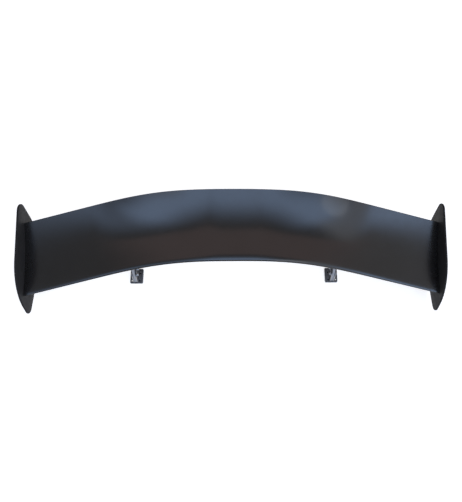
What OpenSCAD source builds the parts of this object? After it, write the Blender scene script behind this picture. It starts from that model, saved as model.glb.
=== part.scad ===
// Racing rear wing: a hollow arched and twisted blade between two end plates, carried on two
// stands. The blade tilts about the pivot bolts and is locked by bolts in arc slots.
// Origin: centre of the foot bolt pattern, on the underside of the foot gaskets.
// +X is along the span, +Y points rearward, +Z is up.

/* [Blade] */
// Overall width over the end plates
overall_w = 1700; // [1500:10:1900]
// Chord of the blade at the centre
centre_chord = 300; // [270:5:330]
// Chord of the blade at the tips
tip_chord = 294; // [270:2:330]
// Angle of attack at the centre, in degrees
centre_aoa = 6; // [2:1:10]
// Angle of attack at the tips, in degrees
tip_aoa = 16; // [12:1:18]
// Distance that the centre sits behind the tips
sweep = 120; // [100:5:140]
// Distance that the centre sits above the tips
arch_rise = 80; // [60:5:100]
// Height of the leading edge above the feet at the tips
tip_h = 110; // [105:5:125]
// Depth of the hollow upper surface, as a fraction of the chord
camber = 0.07; // [0.05:0.005:0.08]
// Greatest thickness, as a fraction of the chord
thickness = 0.085; // [0.075:0.005:0.1]
// Thickness of each moulded skin
skin_t = 2.2; // [1.5:0.1:3]

/* [End plates] */
// Thickness of an end plate
plate_t = 8; // [5:0.5:10]
// Number of screws that hold one end plate
plate_screws = 3; // [2:1:3]

/* [Stands] */
// Distance from the centre of the wing to the middle of an upright
stand_x = 422; // [380:2:450]
// Thickness of an upright
upright_t = 10; // [8:1:12]
// Height of the pivot bolt above the feet
pivot_z = 120; // [116:1:124]
// Distance from the pivot bolt to the lock bolt
lock_r = 54; // [50:1:56]
// Blade tilt below the middle setting, in degrees
tilt_down = 6; // [2:1:8]
// Blade tilt above the middle setting, in degrees
tilt_up = 10; // [4:1:12]

/* [Feet] */
// Distance from the upright to the inboard edge of the foot
foot_in = 30; // [26:1:40]
// Distance from the upright to the outboard edge of the foot
foot_out = 24; // [23:1:40]
// Distance between the two foot bolt rows, along X
foot_hole_gap = 32; // [30:1:34]
// Distance between the front and rear foot bolts, along Y
foot_hole_pitch = 32; // [26:1:36]
// Radius of a foot bolt hole
foot_hole_r = 3.3; // [2.6:0.1:3.5]

/* [Hidden] */
$fn = 48;
eps = 0.5;

// Blade shape
tip_x = overall_w / 2 - plate_t;    // the blade ends on the inner face of the end plate
tip_y = -102;                       // leading edge at the tips
arch_x = 550;                       // beyond this the arched blade runs straight
twist_x = [100, 560];               // the blade twists between these
te_t = 2.6;                         // thickness of the trailing edge

// Inner structure of the blade, as fractions of the chord
web_s = 0.012;
front_s = 0.22;
rear_s = 0.66;
nose_steps = 5;
bay_steps = 4;
rib_t = 20;
pad_half = 26;                      // half width of a hardpoint and of a bracket flange
pad_steps = 3;                      // chord steps that a hardpoint and a flange cover

// Fits
play = 0.05;                        // radial clearance of a running fit
side_gap = 0.3;                     // between the faces that slide past each other

// M8 clamp bolts and M6 screws
m8_r = 4;
m8_head_r = 7.5;
m8_head_h = 5.3;
m8_nut_h = 7;
m8_washer_r = 8;
m8_washer_t = 1.6;
m6_r = 3;
m6_head_r = 5.25;
m6_head_h = 3.3;
m6_hex_r = 5.77;
m6_hex_h = 4;
m6_nut_h = 5;
screw_hole_r = 3.3;
socket_r = 2.3;
socket_depth = 2;
bolt_tail = 2.5;                    // thread that shows beyond a nut

// End plates. Corners: along the tip chord, above it, corner radius
plate_corners = [[-91, -60, 26], [30, 82, 225], [391, 46, 31], [231, -205, 210]];
plate_screw_s = [0.15, 0.8];        // chord fractions between which the screws are spread
insert_r = 5;
insert_l = 14;
cup_r = 9;
cup_t = 1.2;

// Brackets and uprights
flange_t = 5;
seat_t = 4.2;                       // flange left under a screw head
spot_r = 5.9;
bracket_screw_l = 14;
bracket_screw_dx = 18.5;
bracket_screw_s = [0.29, 0.49];
lug_t = 5;
lug_x0 = upright_t / 2 + side_gap;
lug_x1 = lug_x0 + lug_t;
pivot_at = [66, pivot_z];
lock_angle = 4;
lock_at = pivot_at + lock_r * [cos(lock_angle), sin(lock_angle)];
slot_r = m8_r + side_gap;
slot_from = lock_angle - tilt_down - 1;
slot_to = lock_angle + tilt_up + 1;

// Feet
gasket_t = 2;
foot_t = 6;
foot_top = gasket_t + foot_t;
foot_front = 28;
foot_rear = 36;
foot_lug_top = 52;
foot_lug_flare = upright_t / 2 + 5.5;  // half width over the lugs at the base
foot_lug_half = upright_t / 2 + 4.5;   // half width over the lugs at the bolts
foot_bolt_at = [[2, 40], [26, 40]];

// ---------- Curves ----------

function mix(a, b, t) = a + (b - a) * t;
function smooth(t) = t <= 0 ? 0 : t >= 1 ? 1 : t * t * (3 - 2 * t);
// Integral of smooth(): flat at 0, a straight slope of 1 beyond 1
function ramp(t) = t >= 1 ? t - 0.5 : pow(t, 3) - pow(t, 4) / 2;
function unit(v) = v / norm(v);

// 0 at the centre of the span, 1 at the tips
function droop(x) = ramp(abs(x) / arch_x) / ramp(tip_x / arch_x);
function twist(x) = smooth((abs(x) - twist_x[0]) / (twist_x[1] - twist_x[0]));
function chord(x) = mix(centre_chord, tip_chord, twist(x));
function aoa(x) = mix(centre_aoa, tip_aoa, twist(x));

// Heights above the chord line at chord fraction s, as fractions of the chord
function mean_h(s) = -4 * camber * s * (1 - s);
function half_t(s, x) = s * te_t / chord(x) / 2 + 5 * thickness *
    (0.2969 * sqrt(s) - 0.126 * s - 0.3516 * pow(s, 2) + 0.2843 * pow(s, 3) - 0.1015 * pow(s, 4));

// The point at chord fraction s and height h of the section at x
function blade(x, s, h) = [
    x,
    tip_y + sweep * (1 - droop(x)) + chord(x) * (s * cos(aoa(x)) - h * sin(aoa(x))),
    tip_h + arch_rise * (1 - droop(x)) + chord(x) * (s * sin(aoa(x)) + h * cos(aoa(x)))
];

// Outer and inner surfaces of the two skins, which meet on the mean line at both edges
upper = function(x, s) blade(x, s, mean_h(s) + half_t(s, x));
lower = function(x, s) blade(x, s, mean_h(s) - half_t(s, x));
upper_in = function(x, s) blade(x, s, mean_h(s) + max(0, half_t(s, x) - skin_t / chord(x)));
lower_in = function(x, s) blade(x, s, mean_h(s) - max(0, half_t(s, x) - skin_t / chord(x)));
flange_under = function(x, s) lower(x, s) - [0, 0, flange_t];

// Equal steps from a up to, but not including, b
function steps(a, b, n) = [for (i = [0:n - 1]) mix(a, b, i / n)];

// Chord fractions that every lofted piece shares, with knots at the spar webs
chord_s = concat(
    [for (i = [0:nose_steps - 1]) front_s * (1 - cos(90 * i / nose_steps))],
    [front_s],
    steps(front_s + web_s, rear_s, bay_steps),
    [rear_s],
    steps(rear_s + web_s, 1, bay_steps),
    [1]
);
last = len(chord_s) - 1;
bay = nose_steps + 1;               // first knot behind the front web
rib_knots = [2, last - 2];

// Span positions that every lofted piece shares, with knots at the pads and the ribs
half_span = concat(
    steps(0, stand_x - pad_half, 7),
    steps(stand_x - pad_half, stand_x + pad_half, 2),
    steps(stand_x + pad_half, tip_x - rib_t, 6),
    [tip_x - rib_t, tip_x]
);
span = concat([for (i = [len(half_span) - 1:-1:1]) -half_span[i]], half_span);
function between(v, a, b) = [for (x = v) if (x >= a && x <= b) x];
pad_span = between(half_span, stand_x - pad_half, stand_x + pad_half);

// The arc that rounds corner i of a closed outline of [y, z, radius]
function corner(v, i, n = 10) = let (
    p = [v[i].x, v[i].y],
    before = v[(i + len(v) - 1) % len(v)],
    after = v[(i + 1) % len(v)],
    a = unit([before.x, before.y] - p),
    b = unit([after.x, after.y] - p),
    half = acos(a * b) / 2,
    r = v[i].z,
    centre = p + unit(a + b) * r / sin(half),
    start = p + a * r / tan(half) - centre,
    end = p + b * r / tan(half) - centre,
    a0 = atan2(start.y, start.x),
    turn = (atan2(end.y, end.x) - a0 + 540) % 360 - 180
) [for (k = [0:n]) centre + r * [cos(a0 + turn * k / n), sin(a0 + turn * k / n)]];
function rounded(v, n = 10) = [for (i = [0:len(v) - 1]) each corner(v, i, n)];

// ---------- Building blocks ----------

// Closed solid through the ring of points that section(x) gives at each x. The first `up` points
// of a ring run rearward and the others forward. Facets are cut the same way on both runs, so
// that pieces that touch share them, and the end caps are strips from one run to the other.
module loft(xs, section, up) {
    m = len(section(xs[0]));
    n = len(xs) - 1;
    function quad(i, k) = let (
        a = i * m + k,
        b = i * m + (k + 1) % m,
        c = b + m,
        d = a + m,
        falling = (k >= up) != (xs[i] < 0)
    ) falling ? [[a, b, d], [b, c, d]] : [[a, b, c], [a, c, d]];
    function across(k) = (2 * up - 1 - k) % m;
    function strip(k) = across(k) == k ? [k, k + 1, across(k + 1)]
        : [k, k + 1, across(k + 1), across(k)];
    function reversed(face) = [for (i = [len(face) - 1:-1:0]) face[i]];
    cap = [for (k = [0:up - 2]) strip(k)];
    polyhedron(
        points = [for (x = xs) each section(x)],
        faces = concat(
            [for (face = cap) reversed(face)],
            [for (face = cap) [for (k = face) n * m + k]],
            [for (i = [0:n - 1]) for (k = [0:m - 1]) each quad(i, k)]
        ),
        convexity = 6
    );
}

// Solid between two surfaces of the blade, over the knots first..end of the chord
module between_surfaces(xs, top, bottom, first, end) loft(xs, function(x) concat(
    [for (j = [first:end]) top(x, chord_s[j])],
    [for (j = [end:-1:first]) bottom(x, chord_s[j])]
), end - first + 1);

// Children on the +X side for s = 1, mirrored to the -X side for s = -1
module side(s) mirror([s < 0 ? 1 : 0, 0, 0]) children();

// Children in the frame of an upright: x outboard from its middle, y and z as in the part
module at_stand(s) side(s) translate([stand_x, 0, 0]) children();

// Children drawn in XY come out in YZ, with their z along +X from x0
module yz(x0) translate([x0, 0, 0]) rotate([90, 0, 90]) children();

module slab(outline, x0, t) yz(x0) linear_extrude(t) polygon(outline);

// Cylinder along X at [y, z], from x0 over a length
module rod(r, at, x0, length, fn = $fn)
    translate([x0, at.x, at.y]) rotate([0, 90, 0]) cylinder(r = r, h = length, $fn = fn);

// Washer, bushing or, with 6 sides, nut along X
module ring(outer, inner, at, x0, length, fn = $fn) difference() {
    rod(outer, at, x0, length, fn);
    rod(inner, at, x0 - eps, length + 2 * eps);
}

// ---------- Blade ----------

module upper_skin() color("#26272a") loft(span, function(x) concat(
    [for (j = [0:last]) upper(x, chord_s[j])],
    [for (j = [last:-1:1]) upper_in(x, chord_s[j])]
), last + 1);

module lower_skin() color("#1e1f22") difference() {
    loft(span, function(x) concat(
        [lower(x, 0)],
        [for (j = [1:last]) lower_in(x, chord_s[j])],
        [for (j = [last:-1:1]) lower(x, chord_s[j])]
    ), last + 1);
    for (s = [-1, 1]) side(s) bracket_screw_places() translate([0, 0, -eps])
        cylinder(r = screw_hole_r, h = skin_t + 2 * eps);
}

// Shear web between the skins, from chord knot j to the next one
module spar(j) color("#c9b48a")
    between_surfaces(between(span, rib_t - tip_x, tip_x - rib_t), upper_in, lower_in, j, j + 1);
module front_spar() spar(nose_steps);
module rear_spar() spar(bay + bay_steps);

// Solid rib at a tip, bored for the threaded inserts
module tip_rib(s) color("#8a6a42") side(s) difference() {
    between_surfaces([tip_x - rib_t, tip_x], upper_in, lower_in, rib_knots[0], rib_knots[1]);
    for (p = plate_screw_at) rod(insert_r, p, tip_x - insert_l, insert_l + eps);
}

// Solid block between the skins above a stand, tapped for the bracket screws
module hardpoint(s) color("#a9aaac") side(s) difference() {
    between_surfaces(pad_span, upper_in, lower_in, bay, bay + pad_steps);
    bracket_screw_places() cylinder(r = m6_r, h = bracket_screw_l + eps);
}

// ---------- End plates ----------

// Outline in the YZ plane: the corners are turned with the tip chord about its leading edge
function plate_outline() = [
    for (p = rounded(plate_corners, 16)) [
        tip_y + p.x * cos(tip_aoa) - p.y * sin(tip_aoa),
        tip_h + p.x * sin(tip_aoa) + p.y * cos(tip_aoa)
    ]
];

// [y, z] of each end plate screw, on the mean line of the tip section
plate_screw_at = [
    for (s = steps(plate_screw_s[0], plate_screw_s[1], plate_screws))
        let (p = blade(tip_x, s, mean_h(s))) [p.y, p.z]
];

module rib_inserts(s) color("#b8863a") side(s) for (p = plate_screw_at)
    ring(insert_r, m6_r, p, tip_x - insert_l, insert_l);

module end_plate(s) color("#2b2c2f") side(s) difference() {
    slab(plate_outline(), tip_x, plate_t);
    for (p = plate_screw_at) rod(screw_hole_r, p, tip_x - eps, plate_t + 2 * eps);
}

module end_plate_washers(s) color("#1c1c1e") side(s) for (p = plate_screw_at)
    ring(cup_r, screw_hole_r, p, tip_x + plate_t, cup_t);

module end_plate_screws(s) color("#3a3b3e") side(s) for (p = plate_screw_at) difference() {
    union() {
        rod(m6_r - play, p, tip_x - insert_l + 2, insert_l - 2 + plate_t + cup_t + eps);
        rod(m6_head_r, p, tip_x + plate_t + cup_t, m6_head_h);
    }
    rod(socket_r, p, tip_x + plate_t + cup_t + m6_head_h - socket_depth, socket_depth + eps, 6);
}

// ---------- Blade brackets ----------

// Children at each bracket screw of the +X side: z = 0 lies on the outside of the lower skin and
// z points into the blade
module bracket_screw_places() for (dx = [-1, 1], s = bracket_screw_s) {
    x = stand_x + dx * bracket_screw_dx;
    p = lower(x, s);
    n = unit(cross(lower(x + 1, s) - p, lower(x, s + 0.01) - p));
    translate(p) rotate([0, acos(n.z), atan2(n.y, n.x)]) children();
}

// Outline of a bracket lug: round the two bolts, and up into the flange
function lug_outline() = let (
    top = [
        for (j = [bay + pad_steps:-1:bay])
            let (p = lower(stand_x, chord_s[j])) [p.y, p.z - flange_t / 2]
    ],
    quad = [
        [pivot_at.x - 16, pivot_at.y - 13, 11],
        [lock_at.x + 15, lock_at.y - 13, 11],
        [top[0].x, top[0].y, 0],
        [top[pad_steps].x, top[pad_steps].y, 0]
    ]
) concat(corner(quad, 0), corner(quad, 1), top);

// Clevis bracket: a flange that follows the lower skin, and a lug on each side of the upright
module wing_bracket(s) color("#2f3033") difference() {
    union() {
        side(s) between_surfaces(pad_span, lower, flange_under, bay, bay + pad_steps);
        at_stand(s) for (x0 = [lug_x0, -lug_x0 - lug_t]) slab(lug_outline(), x0, lug_t);
    }
    side(s) bracket_screw_places() {
        translate([0, 0, -flange_t - eps]) cylinder(r = screw_hole_r, h = flange_t + 2 * eps);
        translate([0, 0, -2 * flange_t]) cylinder(r = spot_r, h = 2 * flange_t - seat_t);
    }
    at_stand(s) for (p = [pivot_at, lock_at])
        rod(m8_r + play, p, -lug_x1 - eps, 2 * (lug_x1 + eps));
}

module bracket_screws(s) color("#3a3b3e") side(s) bracket_screw_places() difference() {
    translate([0, 0, -seat_t]) {
        cylinder(r = m6_r - play, h = seat_t + bracket_screw_l);
        translate([0, 0, -m6_head_h]) cylinder(r = m6_head_r, h = m6_head_h);
    }
    translate([0, 0, -seat_t - m6_head_h - eps])
        cylinder(r = socket_r, h = socket_depth + eps, $fn = 6);
}

// ---------- Clamp bolts through the clevis ----------

module clamp_bolt(s, at) color("#8d9096") at_stand(s) {
    rod(m8_r, at, -lug_x1 - m8_washer_t - m8_nut_h - bolt_tail, 2 * (lug_x1 + m8_washer_t)
        + m8_nut_h + bolt_tail + eps);
    rod(m8_head_r, at, lug_x1 + m8_washer_t, m8_head_h, 6);
}

module clamp_washers(s, at) color("#a3a6ab") at_stand(s)
    for (x0 = [lug_x1, -lug_x1 - m8_washer_t]) ring(m8_washer_r, m8_r + play, at, x0, m8_washer_t);

module clamp_nut(s, at) color("#8d9096") at_stand(s)
    ring(m8_head_r, m8_r + play, at, -lug_x1 - m8_washer_t - m8_nut_h, m8_nut_h, 6);

// ---------- Stands ----------

// Corners of the upright: y, z and corner radius
function upright_outline() = rounded([
    [foot_bolt_at[0].x - 26, foot_top, 3],
    [foot_rear, foot_top, 3],
    [foot_rear + 22, pivot_at.y * 0.55, 50],
    [lock_at.x + 16, lock_at.y - 19, 12],
    [lock_at.x + 14, lock_at.y + 22, 12],
    [pivot_at.x - 14, pivot_at.y + 17, 14],
    [12, pivot_at.y * 0.7, 60]
]);

// Arc slot for the lock bolt, in the YZ plane about the pivot
module lock_slot() yz(-upright_t / 2 - eps) translate([pivot_at.x, pivot_at.y, 0]) {
    rotate(slot_from) rotate_extrude(angle = slot_to - slot_from, $fn = 180)
        translate([lock_r - slot_r, 0]) square([2 * slot_r, upright_t + 2 * eps]);
    for (a = [slot_from, slot_to])
        rotate(a) translate([lock_r, 0, 0]) cylinder(r = slot_r - play, h = upright_t + 2 * eps);
}

module upright(s) color("#9aa0a8") at_stand(s) difference() {
    slab(upright_outline(), -upright_t / 2, upright_t);
    rod(m8_r + play, pivot_at, -upright_t, 2 * upright_t);
    lock_slot();
    for (p = foot_bolt_at) rod(screw_hole_r, p, -upright_t, 2 * upright_t);
}

// Outline of the foot seen from above: x outboard from the upright, y and corner radius
function foot_outline() = rounded([
    [-foot_in, -foot_front, 5], [foot_out, -foot_front, 5],
    [foot_out, foot_rear, 5], [-foot_in, foot_rear, 5]
]);

module foot_holes() for (dx = [-1, 1], dy = [-1, 1])
    translate([dx * foot_hole_gap / 2, dy * foot_hole_pitch / 2, -eps])
        cylinder(r = foot_hole_r, h = foot_top + 2 * eps);

// The pair of lugs that hold the upright: flared towards the base and raked at the front
module foot_lugs() intersection() {
    slab(rounded([
        [4 - foot_front, foot_top - 1, 1], [foot_rear - 2, foot_top - 1, 1],
        [foot_rear, foot_lug_top, 8], [-8, foot_lug_top, 8]
    ]), -foot_lug_flare, 2 * foot_lug_flare);
    for (d = [0, 1]) mirror([d, 0, 0]) translate([0, foot_rear, 0]) rotate([90, 0, 0])
        linear_extrude(foot_front + foot_rear) polygon([
            [upright_t / 2, 0], [foot_lug_flare, 0],
            [foot_lug_half, foot_lug_top / 2], [foot_lug_half, foot_lug_top],
            [upright_t / 2, foot_lug_top]
        ]);
}

module foot(s) color("#5d6066") at_stand(s) difference() {
    union() {
        translate([0, 0, gasket_t]) linear_extrude(foot_t) polygon(foot_outline());
        foot_lugs();
    }
    foot_holes();
    for (p = foot_bolt_at)
        rod(screw_hole_r, p, -foot_lug_flare - eps, 2 * (foot_lug_flare + eps));
}

module foot_bolts(s) color("#8d9096") at_stand(s) for (p = foot_bolt_at) {
    rod(m6_r, p, -foot_lug_half - m6_nut_h - bolt_tail, 2 * foot_lug_half + m6_nut_h + bolt_tail
        + eps);
    rod(m6_hex_r, p, foot_lug_half, m6_hex_h, 6);
}

module foot_nuts(s) color("#8d9096") at_stand(s) for (p = foot_bolt_at)
    ring(m6_hex_r, m6_r + play, p, -foot_lug_half - m6_nut_h, m6_nut_h, 6);

module foot_gasket(s) color("#1b1b1c") at_stand(s) difference() {
    linear_extrude(gasket_t) polygon(foot_outline());
    foot_holes();
}

// ---------- The nodes ----------

upper_skin();
lower_skin();
front_spar();
rear_spar();
tip_rib(-1);  // tip_rib_left
tip_rib(1);  // tip_rib_right
rib_inserts(-1);  // rib_inserts_left
rib_inserts(1);  // rib_inserts_right
hardpoint(-1);  // hardpoint_left
hardpoint(1);  // hardpoint_right
end_plate(-1);  // end_plate_left
end_plate(1);  // end_plate_right
end_plate_washers(-1);  // end_plate_washers_left
end_plate_washers(1);  // end_plate_washers_right
end_plate_screws(-1);  // end_plate_screws_left
end_plate_screws(1);  // end_plate_screws_right
wing_bracket(-1);  // wing_bracket_left
wing_bracket(1);  // wing_bracket_right
bracket_screws(-1);  // bracket_screws_left
bracket_screws(1);  // bracket_screws_right
clamp_bolt(-1, pivot_at);  // pivot_bolt_left
clamp_bolt(1, pivot_at);  // pivot_bolt_right
clamp_washers(-1, pivot_at);  // pivot_washers_left
clamp_washers(1, pivot_at);  // pivot_washers_right
clamp_nut(-1, pivot_at);  // pivot_nut_left
clamp_nut(1, pivot_at);  // pivot_nut_right
clamp_bolt(-1, lock_at);  // lock_bolt_left
clamp_bolt(1, lock_at);  // lock_bolt_right
clamp_washers(-1, lock_at);  // lock_washers_left
clamp_washers(1, lock_at);  // lock_washers_right
clamp_nut(-1, lock_at);  // lock_nut_left
clamp_nut(1, lock_at);  // lock_nut_right
upright(-1);  // upright_left
upright(1);  // upright_right
foot(-1);  // foot_left
foot(1);  // foot_right
foot_bolts(-1);  // foot_bolts_left
foot_bolts(1);  // foot_bolts_right
foot_nuts(-1);  // foot_nuts_left
foot_nuts(1);  // foot_nuts_right
foot_gasket(-1);  // foot_gasket_left
foot_gasket(1);  // foot_gasket_right
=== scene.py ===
"""Looks of the racing rear wing: fine skins and end plates, finishes, light and camera."""
import math

import bmesh
import bpy
from mathutils import Matrix, Vector


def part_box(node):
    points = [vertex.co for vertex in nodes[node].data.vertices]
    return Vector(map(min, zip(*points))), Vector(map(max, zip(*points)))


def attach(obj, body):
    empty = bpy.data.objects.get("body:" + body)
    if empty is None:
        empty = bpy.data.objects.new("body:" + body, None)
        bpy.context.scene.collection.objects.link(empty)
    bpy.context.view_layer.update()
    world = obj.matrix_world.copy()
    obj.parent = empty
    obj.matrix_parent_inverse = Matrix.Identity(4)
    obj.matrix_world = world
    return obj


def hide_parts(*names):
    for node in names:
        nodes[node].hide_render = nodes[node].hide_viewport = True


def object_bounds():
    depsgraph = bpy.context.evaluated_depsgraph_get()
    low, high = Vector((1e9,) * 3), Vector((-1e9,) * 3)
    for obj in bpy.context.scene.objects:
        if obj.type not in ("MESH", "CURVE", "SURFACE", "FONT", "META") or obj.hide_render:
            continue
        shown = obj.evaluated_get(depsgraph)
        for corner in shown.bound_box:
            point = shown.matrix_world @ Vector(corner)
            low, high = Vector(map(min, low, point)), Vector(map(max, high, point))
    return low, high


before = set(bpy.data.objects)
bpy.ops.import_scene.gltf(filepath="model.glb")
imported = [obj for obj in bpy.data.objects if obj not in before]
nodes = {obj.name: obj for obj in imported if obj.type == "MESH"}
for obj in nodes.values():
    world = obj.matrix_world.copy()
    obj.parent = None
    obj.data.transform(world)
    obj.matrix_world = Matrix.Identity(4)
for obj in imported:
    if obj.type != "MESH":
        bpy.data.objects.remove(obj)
cad_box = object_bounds()
SIDES = {"left": -1, "right": 1}

# ---------- Driving dimensions of the part, in metres and degrees ----------

PLATE_T = 0.008
TIP_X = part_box("end_plate_right")[0].x
TIP_Y = -0.102
TIP_H = 0.110
CENTRE_CHORD = 0.300
TIP_CHORD = 0.294
CENTRE_AOA = 6
TIP_AOA = 16
SWEEP = 0.120
ARCH_RISE = 0.080
ARCH_X = 0.550
TWIST_X = (0.100, 0.560)
CAMBER = 0.07
THICKNESS = 0.085
SKIN_T = 0.0022
TE_T = 0.0026
# Corners of an end plate: along the tip chord, above it, corner radius
PLATE_CORNERS = (
    (-0.091, -0.060, 0.026),
    (0.030, 0.082, 0.225),
    (0.391, 0.046, 0.031),
    (0.231, -0.205, 0.210),
)
# Visual model only: the rounding of the plates' rims and the holes for their screws
PLATE_EDGE = 0.0025
SCREW_HOLE_R = 0.0033


# ---------- Shape of the blade ----------

def mix(a, b, t):
    return a + (b - a) * t


def smooth(t):
    """0 to 1 as t goes from 0 to 1, level at both ends."""
    t = min(1, max(0, t))
    return t * t * (3 - 2 * t)


def ramp(t):
    """Integral of smooth(): flat at 0, a straight slope of 1 beyond 1."""
    return t - 0.5 if t >= 1 else t**3 - t**4 / 2


def droop(x):
    """0 at the centre of the span, 1 at the tips."""
    return ramp(abs(x) / ARCH_X) / ramp(TIP_X / ARCH_X)


def twist(x):
    """0 in the middle of the span, 1 where the blade is fully twisted."""
    return smooth((abs(x) - TWIST_X[0]) / (TWIST_X[1] - TWIST_X[0]))


def mean_h(s):
    """Height of the camber line over the chord; the hollow side is up."""
    return -4 * CAMBER * s * (1 - s)


def half_t(s, chord):
    """Half the thickness at chord fraction s, with a full round at the trailing edge."""
    half = s * TE_T / chord / 2 + 5 * THICKNESS * (
        0.2969 * math.sqrt(s) - 0.126 * s - 0.3516 * s**2 + 0.2843 * s**3 - 0.1015 * s**4
    )
    past = max(0, 1 - (1 - s) * 2 * chord / TE_T)
    return half * math.sqrt(1 - past**2)


def blade(x, s, side, inset=0):
    """A point of the blade: side is 1 on the upper surface, -1 on the lower; inset goes inwards."""
    chord = mix(CENTRE_CHORD, TIP_CHORD, twist(x))
    aoa = math.radians(mix(CENTRE_AOA, TIP_AOA, twist(x)))
    h = mean_h(s) + side * max(0, half_t(s, chord) - inset / chord)
    lift = 1 - droop(x)
    return Vector((
        x,
        TIP_Y + SWEEP * lift + chord * (s * math.cos(aoa) - h * math.sin(aoa)),
        TIP_H + ARCH_RISE * lift + chord * (s * math.sin(aoa) + h * math.cos(aoa)),
    ))


# ---------- Mesh building ----------

def new_object(name, data):
    thing = bpy.data.objects.new(name, data)
    bpy.context.scene.collection.objects.link(thing)
    return thing


def new_piece(name, verts, faces, sharp=35):
    """A smooth-shaded mesh object whose edges are sharp beyond an angle in degrees."""
    mesh = bpy.data.meshes.new(name)
    mesh.from_pydata([tuple(v) for v in verts], [], faces)
    mesh.validate()
    work = bmesh.new()
    work.from_mesh(mesh)
    bmesh.ops.recalc_face_normals(work, faces=work.faces)
    work.to_mesh(mesh)
    work.free()
    shade(mesh, sharp)
    return new_object(name, mesh)


def shade(mesh, sharp):
    mesh.polygons.foreach_set("use_smooth", [True] * len(mesh.polygons))
    mesh.set_sharp_from_angle(angle=math.radians(sharp))


def loft(name, rings):
    """Closed solid through rings whose first half mirrors its second, capped by strips."""
    size = len(rings[0])
    faces = []
    for i in range(len(rings) - 1):
        for k in range(size):
            a, b = i * size + k, i * size + (k + 1) % size
            faces.append((a, b, b + size, a + size))
    for base in (0, (len(rings) - 1) * size):
        for k in range(size // 2):
            strip = [base + j % size for j in (k, k + 1, size - k - 1, size - k)]
            faces.append(tuple(dict.fromkeys(strip)))
    return new_piece(name, [p for ring in rings for p in ring], faces)


def chord_fractions(count=34, edge_count=5):
    """Chord fractions from 0 to 1, close together at the nose and round the trailing edge."""
    edge = TE_T / 2 / CENTRE_CHORD
    body = [(1 - edge) * (1 - math.cos(math.pi * i / count)) / 2 for i in range(count + 1)]
    turns = [math.pi * i / 2 / edge_count for i in range(1, edge_count + 1)]
    return body + [1 - edge * (1 - math.sin(turn)) for turn in turns]


def skin(name, side, stations=120):
    fractions = chord_fractions()
    rings = []
    for i in range(stations + 1):
        x = mix(-TIP_X, TIP_X, i / stations)
        outer = [blade(x, s, side) for s in fractions]
        inner = [blade(x, s, side, SKIN_T) for s in fractions[-2:0:-1]]
        rings.append(outer + inner)
    return loft(name, rings)


def arc_corner(corners, i, steps):
    """Points of the arc that rounds corner i of a closed outline of (y, z, radius)."""
    here, before, after = (Vector(corners[j % len(corners)][:2]) for j in (i, i - 1, i + 1))
    a, b = (before - here).normalized(), (after - here).normalized()
    half = a.angle(b) / 2
    radius = corners[i][2]
    centre = here + (a + b).normalized() * radius / math.sin(half)
    start = here + a * radius / math.tan(half) - centre
    end = here + b * radius / math.tan(half) - centre
    turn = start.angle_signed(end)
    return [centre + Matrix.Rotation(-turn * k / steps, 2) @ start for k in range(steps + 1)]


def rounded(corners, steps=24):
    return [p for i in range(len(corners)) for p in arc_corner(corners, i, steps)]


def plate(name, outline, holes, x0, x1, edge, hole_steps=32):
    """Plate in the YZ plane from x0 to x1, with its rims rounded by edge. Holes: (y, z, radius)."""
    curve = bpy.data.curves.new(name, "CURVE")
    curve.dimensions = "2D"
    curve.fill_mode = "BOTH"
    curve.extrude = (x1 - x0) / 2 - edge
    curve.bevel_depth = edge
    curve.bevel_resolution = 3
    curve.offset = -edge
    turns = [2 * math.pi * k / hole_steps for k in range(hole_steps)]
    circles = [[(y + r * math.cos(t), z + r * math.sin(t)) for t in turns] for y, z, r in holes]
    for points in [outline] + circles:
        spline = curve.splines.new("POLY")
        spline.points.add(len(points) - 1)
        for point, (y, z) in zip(spline.points, points):
            point.co = (y, z, 0, 1)
        spline.use_cyclic_u = True
    flat = new_object(name, curve)
    bpy.context.view_layer.update()
    mesh = bpy.data.meshes.new_from_object(flat.evaluated_get(bpy.context.evaluated_depsgraph_get()))
    bpy.data.objects.remove(flat)
    work = bmesh.new()
    work.from_mesh(mesh)
    bmesh.ops.remove_doubles(work, verts=work.verts, dist=1e-6)
    stand_up = Matrix(((0, 0, 1, (x0 + x1) / 2), (1, 0, 0, 0), (0, 1, 0, 0), (0, 0, 0, 1)))
    bmesh.ops.transform(work, matrix=stand_up, verts=work.verts)
    bmesh.ops.recalc_face_normals(work, faces=work.faces)
    work.to_mesh(mesh)
    work.free()
    shade(mesh, sharp=50)
    return new_object(name, mesh)


# ---------- Materials ----------

class Nodes:
    """Builds up a shader node tree. A value is a number, a colour or another node's output."""

    def __init__(self, tree):
        self.tree = tree

    def plug(self, target, value):
        if isinstance(value, bpy.types.NodeSocket):
            self.tree.links.new(value, target)
        else:
            target.default_value = (*value, 1) if target.type == "RGBA" else value

    def add(self, kind, output, values=None, **settings):
        """One output of a new node whose inputs take values, by name."""
        node = self.tree.nodes.new("ShaderNode" + kind)
        for setting, choice in settings.items():
            setattr(node, setting, choice)
        for name, value in (values or {}).items():
            self.plug(node.inputs[name], value)
        return node.outputs[output]

    def math(self, operation, *values):
        return self.add("Math", "Value", dict(enumerate(values)), operation=operation)

    def fade(self, value, start, end, low=0, high=1, shape="SMOOTHSTEP"):
        """Takes a value from start..end to low..high."""
        ends = {"From Min": start, "From Max": end, "To Min": low, "To Max": high}
        return self.add("MapRange", "Result", {"Value": value, **ends}, interpolation_type=shape)

    def blend(self, a, b, factor):
        values = {"A": a, "B": b, "Factor": factor}
        return self.add("Mix", "Result", values, data_type="RGBA")


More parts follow.
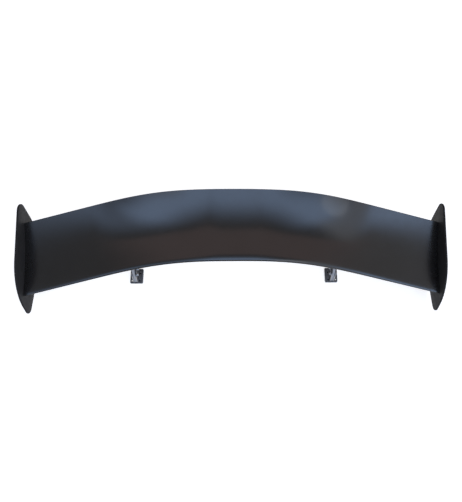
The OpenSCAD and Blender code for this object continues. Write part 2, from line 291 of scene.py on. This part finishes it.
class Finish(Nodes):
    """A procedural material in the part's own coordinates: colours, gloss and surface relief."""

    def __init__(self, name, colour, **sockets):
        self.material = bpy.data.materials.new(name)
        self.material.use_nodes = True
        super().__init__(self.material.node_tree)
        self.inputs = self.tree.nodes["Principled BSDF"].inputs
        for socket, value in sockets.items():
            self.plug(self.inputs[socket.replace("_", " ")], value)
        self.place = self.add("TexCoord", "Object")
        self.tint = colour
        self.plug(self.inputs["Base Color"], colour)
        self.roughness = None
        self.relief = None

    def noise(self, scale, stretch=(1, 1, 1), detail=3):
        """Noise of about 1/scale metres, drawn out along an axis by a small stretch value."""
        place = self.add("Mapping", "Vector", {"Vector": self.place, "Scale": stretch})
        return self.add("TexNoise", "Fac", {"Vector": place, "Scale": scale, "Detail": detail})

    def ranged(self, value, low, high):
        """The middle of a noise's spread mapped to low..high."""
        return self.fade(value, 0.3, 0.7, low, high, "LINEAR")

    def mottle(self, other, factor):
        """Blends the colour so far towards another one where factor is 1."""
        self.tint = self.blend(self.tint, other, factor)
        self.plug(self.inputs["Base Color"], self.tint)
        return self

    def gloss(self, low, high, scale, stretch=(1, 1, 1)):
        """Varies the roughness from low to high."""
        self.roughness = self.ranged(self.noise(scale, stretch), low, high)
        self.plug(self.inputs["Roughness"], self.roughness)
        return self

    def duller(self, start, end, more):
        """Raises the roughness evenly with the distance from the middle of the span."""
        x = self.add("SeparateXYZ", "X", {"Vector": self.place})
        extra = self.fade(self.math("ABSOLUTE", x), start, end, 0, more, "LINEAR")
        self.roughness = self.math("ADD", self.roughness, extra)
        self.plug(self.inputs["Roughness"], self.roughness)
        return self

    def grain(self, depth, scale, stretch=(1, 1, 1)):
        """Relief of a depth in metres on top of any relief so far."""
        values = {"Distance": depth, "Height": self.noise(scale, stretch)}
        if self.relief:
            values["Normal"] = self.relief
        self.relief = self.add("Bump", "Normal", values)
        self.plug(self.inputs["Normal"], self.relief)
        return self


def blade_black():
    """Satin black paint over a moulded skin, with faint waves and orange peel."""
    paint = Finish("blade_black", (0.009, 0.0082, 0.0078), Specular_IOR_Level=1)
    paint.mottle((0.013, 0.0118, 0.011), paint.ranged(paint.noise(9), 0, 1))
    paint.gloss(0.1, 0.13, 40).duller(0.45, TIP_X, 0.16)
    return paint.grain(0.00005, 24).grain(0.000005, 620).material


def plate_black():
    """Black sheet with a fine pressed grain."""
    sheet = Finish("plate_black", (0.027, 0.0265, 0.027), Specular_IOR_Level=0.05)
    sheet.mottle((0.034, 0.0325, 0.032), sheet.ranged(sheet.noise(30, detail=5), 0, 1))
    sheet.gloss(0.4, 0.55, 90)
    return sheet.grain(0.00003, 900).material


def brushed_metal(name, colour, worn, low, high, along):
    """Bare or plated metal with a brushed grain drawn out along one axis."""
    metal = Finish(name, colour, Metallic=1)
    metal.mottle(worn, metal.ranged(metal.noise(70, detail=5), 0, 1))
    stretch = tuple(0.04 if axis == along else 1 for axis in "xyz")
    metal.gloss(low, high, 500, stretch)
    return metal.grain(0.000012, 1400, stretch).material


def cast_metal(name, colour, worn, low, high):
    metal = Finish(name, colour, Metallic=1)
    metal.mottle(worn, metal.ranged(metal.noise(120, detail=5), 0, 1))
    metal.gloss(low, high, 220)
    return metal.grain(0.00005, 700).material


def moulded(name, colour, other, low, high, depth, scale):
    """Plastic, rubber or resin with a moulded or sawn surface."""
    soft = Finish(name, colour)
    soft.mottle(other, soft.ranged(soft.noise(scale / 6, detail=5), 0, 1))
    soft.gloss(low, high, scale / 3)
    return soft.grain(depth, scale).material


def laminate():
    """Glass cloth in resin: a plain weave of 2 mm tows."""
    cloth = Finish("laminate", (0.42, 0.36, 0.22))
    along, across = (
        cloth.add("TexWave", "Fac", {"Vector": cloth.place, "Scale": 150}, bands_direction=axis)
        for axis in "XZ"
    )
    cloth.mottle((0.55, 0.5, 0.34), cloth.math("MULTIPLY", along, across))
    cloth.gloss(0.3, 0.5, 200)
    return cloth.grain(0.00005, 800).material


# Each finish, and the kinds of node that wear it: their names without _left or _right
FINISHES = (
    (laminate(), ("front_spar", "rear_spar")),
    (
        moulded("rib_resin", (0.3, 0.17, 0.07), (0.38, 0.24, 0.12), 0.5, 0.7, 0.00008, 400),
        ("tip_rib",),
    ),
    (
        cast_metal("brass_insert", (0.72, 0.5, 0.2), (0.6, 0.4, 0.15), 0.25, 0.4),
        ("rib_inserts",),
    ),
    (
        brushed_metal("aluminium_block", (0.72, 0.72, 0.73), (0.6, 0.6, 0.62), 0.25, 0.4, "x"),
        ("hardpoint",),
    ),
    (
        brushed_metal("stand_aluminium", (0.27, 0.29, 0.33), (0.2, 0.215, 0.25), 0.26, 0.4, "z"),
        ("upright",),
    ),
    (
        cast_metal("foot_aluminium", (0.36, 0.36, 0.365), (0.26, 0.26, 0.27), 0.3, 0.45),
        ("foot",),
    ),
    (
        moulded("bracket_black", (0.02, 0.02, 0.022), (0.03, 0.03, 0.032), 0.35, 0.5, 0.00003, 900),
        ("wing_bracket",),
    ),
    (
        brushed_metal("zinc_steel", (0.66, 0.68, 0.72), (0.5, 0.52, 0.55), 0.22, 0.38, "x"),
        (
            "pivot_bolt", "pivot_washers", "pivot_nut", "lock_bolt", "lock_washers", "lock_nut",
            "foot_bolts", "foot_nuts",
        ),
    ),
    (
        cast_metal("black_steel", (0.06, 0.06, 0.065), (0.1, 0.1, 0.105), 0.3, 0.45),
        ("end_plate_screws", "bracket_screws"),
    ),
    (
        moulded("black_nylon", (0.014, 0.014, 0.015), (0.022, 0.022, 0.023), 0.4, 0.55, 0.00004, 700),
        ("end_plate_washers",),
    ),
    (
        moulded("gasket_rubber", (0.011, 0.011, 0.011), (0.02, 0.02, 0.02), 0.6, 0.8, 0.00008, 500),
        ("foot_gasket",),
    ),
)

# Kinds of machined node whose sharp edges get a small round
SOFTENED = (
    "upright", "foot", "pivot_bolt", "pivot_nut", "lock_bolt", "lock_nut", "foot_bolts", "foot_nuts",
)


def wear(piece, material):
    piece.data.materials.clear()
    piece.data.materials.append(material)


def soften(node, width=0.0004):
    """Rounds the edges of a CAD node with modifiers, which leave its own mesh alone."""
    weld = node.modifiers.new("weld", "WELD")
    weld.merge_threshold = 1e-5
    flat = node.modifiers.new("flat", "DECIMATE")
    flat.decimate_type = "DISSOLVE"
    flat.angle_limit = math.radians(1)
    bevel = node.modifiers.new("bevel", "BEVEL")
    bevel.width = width
    bevel.segments = 2
    bevel.limit_method = "ANGLE"
    bevel.angle_limit = math.radians(40)
    bevel.use_clamp_overlap = False


# ---------- Stage, light and camera ----------

def lay_flat(name, low, high, z, material):
    """A level rectangle of the stage, from one corner (x, y) to the other."""
    corners = ((low[0], low[1]), (high[0], low[1]), (high[0], high[1]), (low[0], high[1]))
    sheet = new_piece(name, [(x, y, z) for x, y in corners], [(0, 1, 2, 3)])
    wear(sheet, material)


def make_floor(z, half=1.6, inset=0.008, lift=0.0005):
    """A pale floor that glows a little, and painted shade: dark sheets just above the floor under the
    feet, which their bolt holes show.
    """
    pale = Finish("pale_floor", (0.86, 0.86, 0.86), Roughness=0.9, Specular_IOR_Level=0.1)
    pale.plug(pale.inputs["Emission Color"], (1, 1, 1))
    pale.plug(pale.inputs["Emission Strength"], 0.75)
    lay_flat("floor", (-half, -half), (half, half), z, pale.material)
    # Painted shade: a dark sheet under each foot stands for the shade that no light reaches there
    dark = Finish("painted_shade_floor", (0.02, 0.02, 0.022), Roughness=0.9)
    border = Vector((inset, inset, 0))
    for word in SIDES:
        low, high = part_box("foot_" + word)
        lay_flat("painted_shade_floor_" + word, low + border, high - border, z + lift, dark.material)


# Colours of the surround, as radiance
STRIP_DARK = (0.2, 0.2, 0.205)
STRIP_RIGHT = (0.36, 0.355, 0.36)
GAP_GREY = (0.65, 0.66, 0.7)
REAR_WARM = (0.47, 0.37, 0.36)
FRONT_COOL = (1.6, 2.2, 3.3)
FAR_RIGHT = (0.9, 0.9, 0.95)
CAMERA_WHITE = (1, 1, 1)


def make_sky():
    """A soft studio surround: cool over the front with a grey gap to the right, then a dark
    strip, and warm over the rear. It lights the part and shows in its gloss, and the camera
    itself sees white."""
    world = bpy.data.worlds.new("surround")
    bpy.context.scene.world = world
    world.use_nodes = True
    sky = Nodes(world.node_tree)

    # The direction looked in: x to the right, y to the rear, both from -1 to 1
    direction = sky.add("TexCoord", "Generated")
    x = sky.add("SeparateXYZ", "X", {"Vector": direction})
    y = sky.add("SeparateXYZ", "Y", {"Vector": direction})
    aside = sky.math("ABSOLUTE", x)

    # How far a direction is in front of the dark strip, which bends forward at both sides
    strip = sky.math("MULTIPLY_ADD", sky.math("MAXIMUM", aside, 0.06), -1.3, 0.3)
    front = sky.math("SUBTRACT", strip, y)

    # Where each zone lies, as factors from 0 to 1
    warm = sky.math("MULTIPLY", sky.fade(front, -0.01, -0.04), sky.fade(aside, 0.5, 0.2))
    gap = sky.math("MULTIPLY", sky.fade(x, 0.04, 0.14), sky.fade(x, 0.38, 0.24))
    gap_front = sky.math("MULTIPLY", gap, sky.fade(y, 0.05, -0.12))
    cool = sky.math("MULTIPLY", sky.fade(front, -0.02, 0.32), sky.fade(front, 0.8, 0.4))
    cool = sky.math("MULTIPLY", cool, sky.math("MULTIPLY_ADD", gap, -0.6, 1))

    # The cool zone is brightest in the middle, weaker beside it, and bright again far right
    level = sky.math("ADD", sky.fade(aside, 0.05, 0.19, 0.58, 0.22), sky.fade(aside, 0.19, 0.4, 0, 0.14))
    level = sky.math("ADD", level, sky.fade(x, 0.26, 0.44, 0, 0.75))

    colour = sky.blend(STRIP_DARK, STRIP_RIGHT, sky.fade(x, 0.12, 0.3))
    colour = sky.blend(colour, GAP_GREY, gap_front)
    colour = sky.blend(colour, REAR_WARM, warm)
    colour = sky.blend(colour, FRONT_COOL, sky.math("MULTIPLY", cool, level))
    colour = sky.blend(colour, FAR_RIGHT, sky.fade(x, 0.6, 0.85))
    colour = sky.blend(colour, CAMERA_WHITE, sky.add("LightPath", "Is Camera Ray"))
    sky.plug(sky.tree.nodes["Background"].inputs["Color"], colour)


def soft_light(name, place, size, power, colour):
    """A round light that faces down and that the camera doesn't see."""
    data = bpy.data.lights.new(name, "AREA")
    data.shape = "DISK"
    data.size = size
    data.energy = power
    data.color = colour
    light = new_object(name, data)
    light.location = place
    light.visible_camera = False


def make_camera(target, distance, elevation, yaw, roll, lens, shift):
    data = bpy.data.cameras.new("camera")
    data.lens = lens
    data.shift_x, data.shift_y = shift
    camera = new_object("camera", data)
    turn = (
        Matrix.Rotation(math.radians(90 - elevation), 4, "X")
        @ Matrix.Rotation(math.radians(-yaw), 4, "Y")
        @ Matrix.Rotation(math.radians(roll), 4, "Z")
    )
    camera.matrix_world = Matrix.Translation(Vector(target) + distance * turn.col[2].xyz) @ turn
    bpy.context.scene.camera = camera


make_camera(
    target=(0.0866, 0.0860, 0.1500), distance=2.0, elevation=73.03, yaw=1.66, roll=-0.23,
    lens=34.99, shift=(-0.0480, -0.0066),
)
make_floor(cad_box[0].z - 0.001)
make_sky()
soft_light("right", (0.44, -0.3, 1.6), size=0.4, power=0.2, colour=(1, 0.98, 0.95))
bpy.context.scene.view_settings.view_transform = "Standard"


# ---------- The pieces ----------

def end_plate_outline():
    """The corners turned with the tip chord about its leading edge, as points (y, z)."""
    turn = Matrix.Rotation(math.radians(TIP_AOA), 2)
    return [Vector((TIP_Y, TIP_H)) + turn @ p for p in rounded(PLATE_CORNERS)]


def screw_places(node):
    """(y, z) of each screw of a node, from front to rear: the middles of its separate solids."""
    work = bmesh.new()
    work.from_mesh(nodes[node].data)
    bmesh.ops.remove_doubles(work, verts=work.verts, dist=1e-6)
    left = set(work.verts)
    places = []
    while left:
        island, edge = set(), [next(iter(left))]
        while edge:
            vert = edge.pop()
            if vert not in island:
                island.add(vert)
                edge += [e.other_vert(vert) for e in vert.link_edges]
        left -= island
        ys, zs = [v.co.y for v in island], [v.co.z for v in island]
        places.append(((min(ys) + max(ys)) / 2, (min(zs) + max(zs)) / 2))
    work.free()
    return sorted(places)


gel_coat = blade_black()
sheet_black = plate_black()
for name, side in (("upper_skin", 1), ("lower_skin", -1)):
    shell = skin(name + "_fine", side)
    wear(shell, gel_coat)
    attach(shell, "wing")
    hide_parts(name)

for word, side in SIDES.items():
    holes = [(y, z, SCREW_HOLE_R) for y, z in screw_places("end_plate_screws_" + word)]
    x0, x1 = sorted((side * TIP_X, side * (TIP_X + PLATE_T)))
    board = plate("end_plate_" + word + "_fine", end_plate_outline(), holes, x0, x1, PLATE_EDGE)
    wear(board, sheet_black)
    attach(board, "wing")
    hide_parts("end_plate_" + word)

for name, node in nodes.items():
    kind = name.removesuffix("_left").removesuffix("_right")
    for material, kinds in FINISHES:
        if kind in kinds:
            wear(node, material)
    if kind in SOFTENED:
        soften(node)
